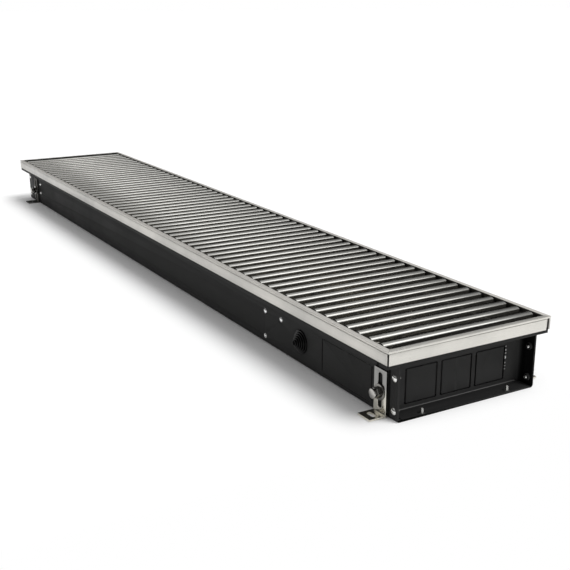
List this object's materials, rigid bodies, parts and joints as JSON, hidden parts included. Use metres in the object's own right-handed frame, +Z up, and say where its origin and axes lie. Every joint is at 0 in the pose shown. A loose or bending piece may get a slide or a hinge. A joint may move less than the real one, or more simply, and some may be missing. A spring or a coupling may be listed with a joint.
{
  "type": "trench convector heater",
  "caption": "Floor trench convector: black folded trench, satin metal frame, roll grille of cross bars, finned copper heat exchanger, valves, and height-adjustable foot brackets.",
  "frame": {"origin": "bottom centre of the trench, on the plane the trench floor stands on", "axes": "+X along the trench towards the connection end (the near end in the picture), +Y across it towards the side the picture doesn't show, +Z up out of the floor"},
  "size_m": [1.618, 0.2846, 0.1],
  "materials": {
    "tray_black": "matt black powder coat",
    "frame_satin": "satin anodised, natural",
    "key_steel": "zinc plated",
    "rubber_black": "matt",
    "screw_zinc": "bright zinc plated",
    "rivet_bright": "bright",
    "bolt_dark": "zinc plated, dull",
    "bracket_zinc": "plated, slightly warm",
    "cradle_zinc": "galvanised",
    "brass_plain": "plain turned",
    "fin_aluminium": "rolled sheet",
    "copper": "copper colour, slightly tarnished",
    "grille_satin": "satin anodised, natural",
    "rod_steel": "drawn",
    "spacer_plastic": "matt",
    "cap_plastic": "matt white"
  },
  "bodies": {
    "trench": {"trench_tray": "tray_black", "end_plate_near": "tray_black", "end_plate_far": "tray_black", "frame_rail_front": "frame_satin", "frame_rail_back": "frame_satin", "frame_rail_near": "frame_satin", "frame_rail_far": "frame_satin", "frame_corner_keys": "key_steel", "frame_seals": "rubber_black", "grille_support_strips": "rubber_black", "end_plate_screws": "screw_zinc", "end_plate_nuts": "tray_black", "wall_rivets": "rivet_bright", "cable_grommet": "rubber_black", "earth_stud": "brass_plain", "earth_nuts": "brass_plain", "cradle_near": "cradle_zinc", "cradle_far": "cradle_zinc", "fin_pack": "fin_aluminium", "copper_circuit": "copper", "union_nuts": "brass_plain", "flow_valve_body": "brass_plain", "return_valve_body": "brass_plain", "air_vent_body": "brass_plain", "clamp_bolts": "bolt_dark", "clamp_washers": "screw_zinc", "clamp_nuts": "screw_zinc", "clamp_inner_nuts": "screw_zinc", "levelling_bushes": "tray_black"},
    "grille": {"grille_bars": "grille_satin", "grille_rods": "rod_steel", "grille_spacers": "spacer_plastic"},
    "bracket_front_near": {"foot_bracket_front_near": "bracket_zinc"},
    "bracket_front_far": {"foot_bracket_front_far": "bracket_zinc"},
    "bracket_back_near": {"foot_bracket_back_near": "bracket_zinc"},
    "bracket_back_far": {"foot_bracket_back_far": "bracket_zinc"},
    "level_front_near": {"levelling_screw_front_near": "screw_zinc"},
    "level_front_far": {"levelling_screw_front_far": "screw_zinc"},
    "level_back_near": {"levelling_screw_back_near": "screw_zinc"},
    "level_back_far": {"levelling_screw_back_far": "screw_zinc"},
    "hand_cap": {"flow_hand_cap": "cap_plastic"},
    "lock_spindle": {"return_spindle": "brass_plain"},
    "vent_screw": {"air_vent_screw": "brass_plain"}
  },
  "joints": [
    {"name": "grille_lift", "type": "slide", "parent": "trench", "child": "grille", "axis": [0, 0, 1], "range_m": [0, 0.12]},
    {"name": "bracket_front_near_slide", "type": "slide", "parent": "trench", "child": "bracket_front_near", "axis": [0, 0, 1], "range_m": [-0.02, 0.015]},
    {"name": "bracket_front_far_slide", "type": "slide", "parent": "trench", "child": "bracket_front_far", "axis": [0, 0, 1], "range_m": [-0.02, 0.015]},
    {"name": "bracket_back_near_slide", "type": "slide", "parent": "trench", "child": "bracket_back_near", "axis": [0, 0, 1], "range_m": [-0.02, 0.015]},
    {"name": "bracket_back_far_slide", "type": "slide", "parent": "trench", "child": "bracket_back_far", "axis": [0, 0, 1], "range_m": [-0.02, 0.015]},
    {"name": "level_front_near_drive", "type": "slide", "parent": "trench", "child": "level_front_near", "axis": [0, 0, 1], "range_m": [-0.008, 0.002]},
    {"name": "level_front_far_drive", "type": "slide", "parent": "trench", "child": "level_front_far", "axis": [0, 0, 1], "range_m": [-0.008, 0.002]},
    {"name": "level_back_near_drive", "type": "slide", "parent": "trench", "child": "level_back_near", "axis": [0, 0, 1], "range_m": [-0.008, 0.002]},
    {"name": "level_back_far_drive", "type": "slide", "parent": "trench", "child": "level_back_far", "axis": [0, 0, 1], "range_m": [-0.008, 0.002]},
    {"name": "hand_cap_turn", "type": "hinge", "parent": "trench", "child": "hand_cap", "pos_m": [0.533, 0, 0.059], "axis": [0, 0, 1], "range_deg": [-720, 0]},
    {"name": "lock_spindle_turn", "type": "hinge", "parent": "trench", "child": "lock_spindle", "pos_m": [0.533, 0.0584, 0.059], "axis": [0, 0, 1], "range_deg": [-720, 0]},
    {"name": "vent_screw_turn", "type": "hinge", "parent": "trench", "child": "vent_screw", "pos_m": [0.4815, 0.0584, 0.054], "axis": [0, 0, 1], "range_deg": [0, 360]}
  ]
}
